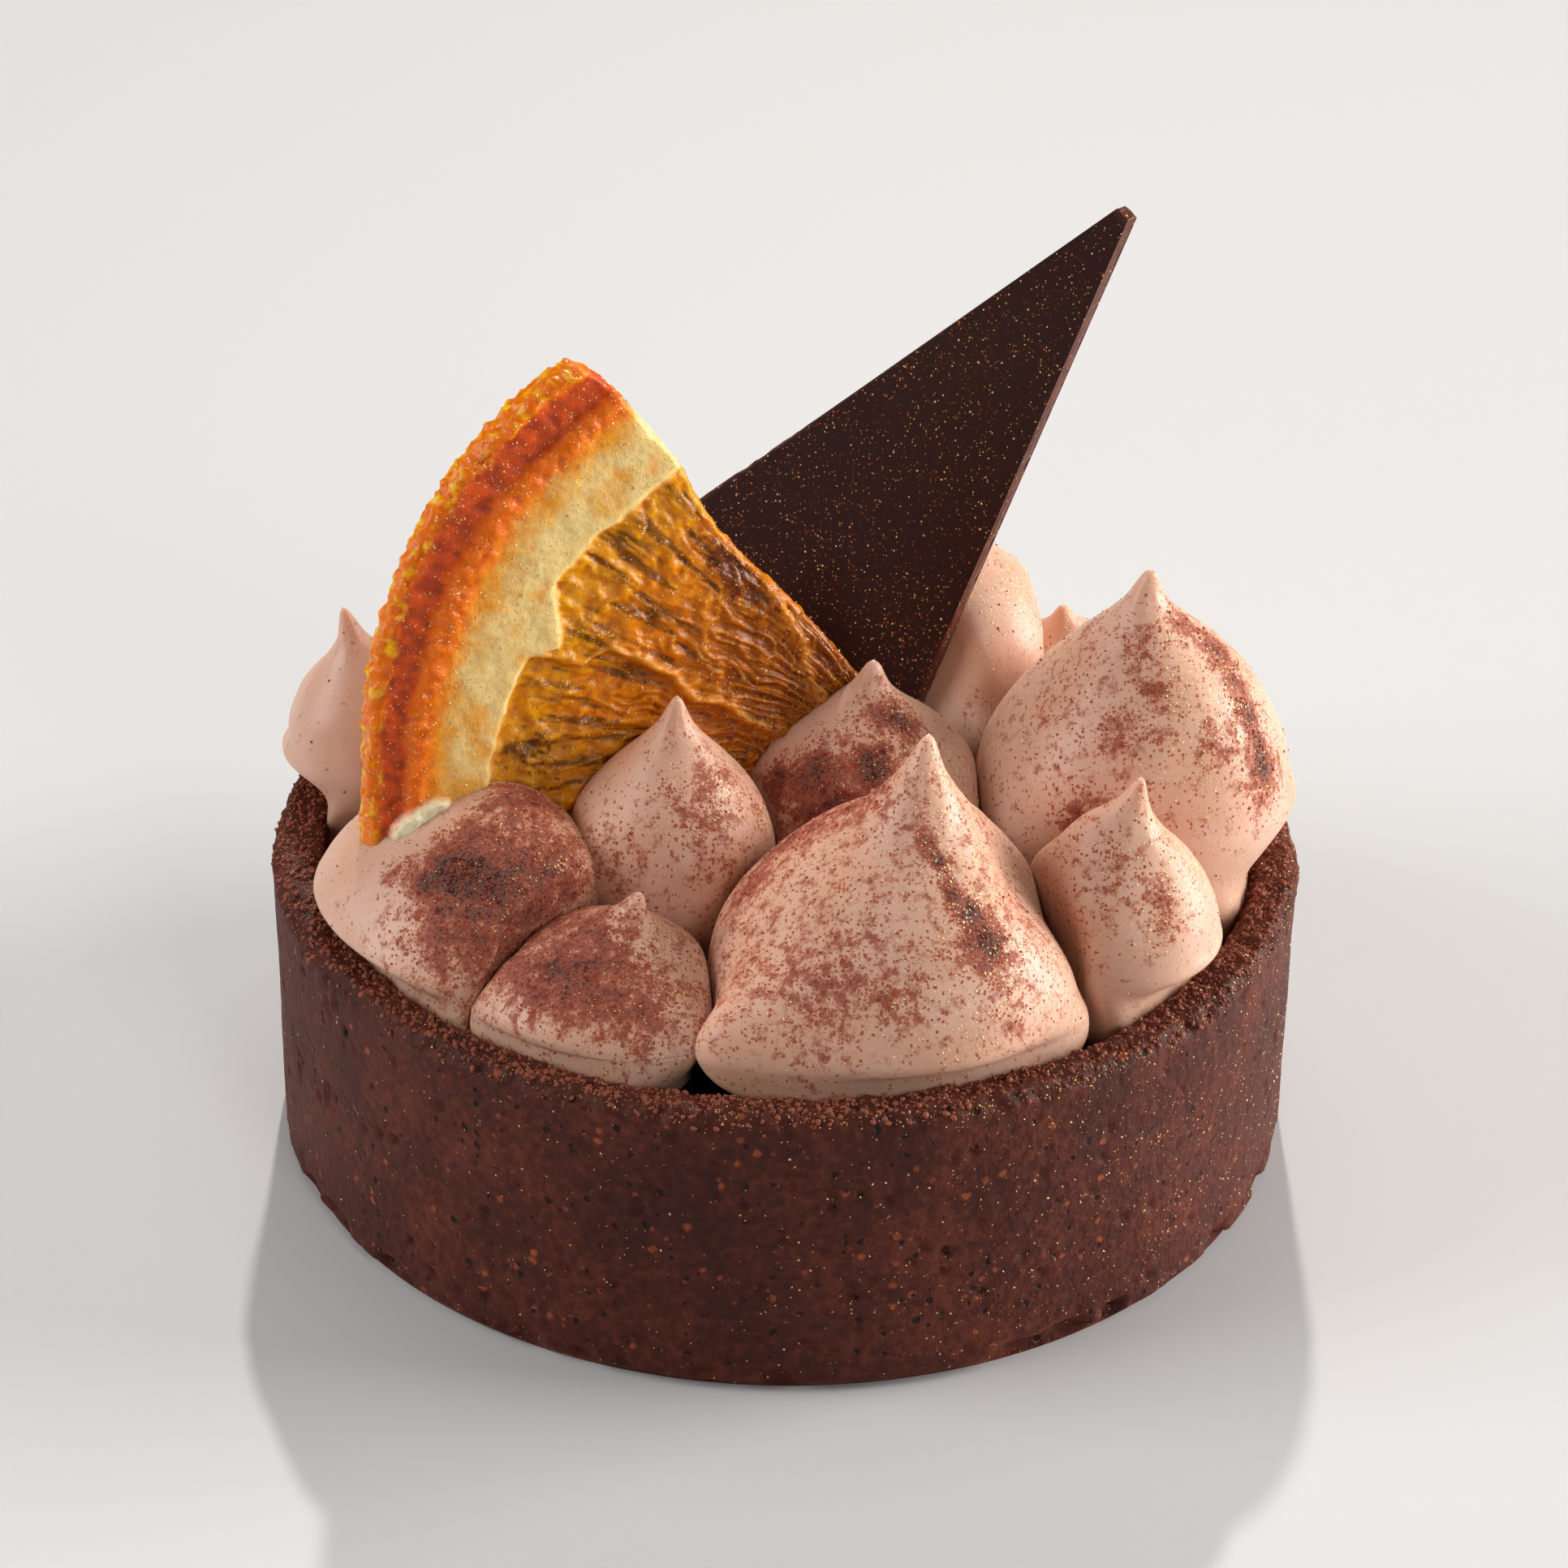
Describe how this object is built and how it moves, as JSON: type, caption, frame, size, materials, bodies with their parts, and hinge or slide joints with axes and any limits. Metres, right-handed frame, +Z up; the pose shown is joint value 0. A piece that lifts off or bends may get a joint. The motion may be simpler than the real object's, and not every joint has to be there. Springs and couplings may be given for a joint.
{
  "type": "chocolate tart",
  "caption": "Round cocoa shortcrust tart, filled and topped with piped milk chocolate cream, a dried orange wedge and a dark chocolate triangle.",
  "frame": {"origin": "middle of the underside of the case, on the surface that the tart stands on", "axes": "+Z up through the middle of the case; -Y is the front, from which the orange wedge stands at the left and the chocolate triangle at the right"},
  "size_m": [0.07, 0.07, 0.0638],
  "materials": {
    "shortcrust": "baked cocoa shortcrust, matt and crumbly",
    "filling": "dark ganache, set and slightly glossy",
    "cream": "whipped milk chocolate cream, satin, dusted with cocoa",
    "dried_orange": "dried orange, sticky and half clear, with a bumpy rind",
    "dark_chocolate": "tempered dark chocolate with fine metallic dust"
  },
  "bodies": {
    "root": {"tart_case": "shortcrust", "dark_filling": "filling", "cream_drop_01": "cream", "cream_drop_02": "cream", "cream_drop_03": "cream", "cream_drop_04": "cream", "cream_drop_05": "cream", "cream_drop_06": "cream", "cream_drop_07": "cream", "cream_drop_08": "cream", "cream_drop_09": "cream", "cream_drop_10": "cream", "cream_drop_11": "cream", "cream_drop_12": "cream", "cream_drop_13": "cream", "cream_drop_14": "cream", "orange_wedge": "dried_orange", "chocolate_triangle": "dark_chocolate"}
  },
  "joints": []
}
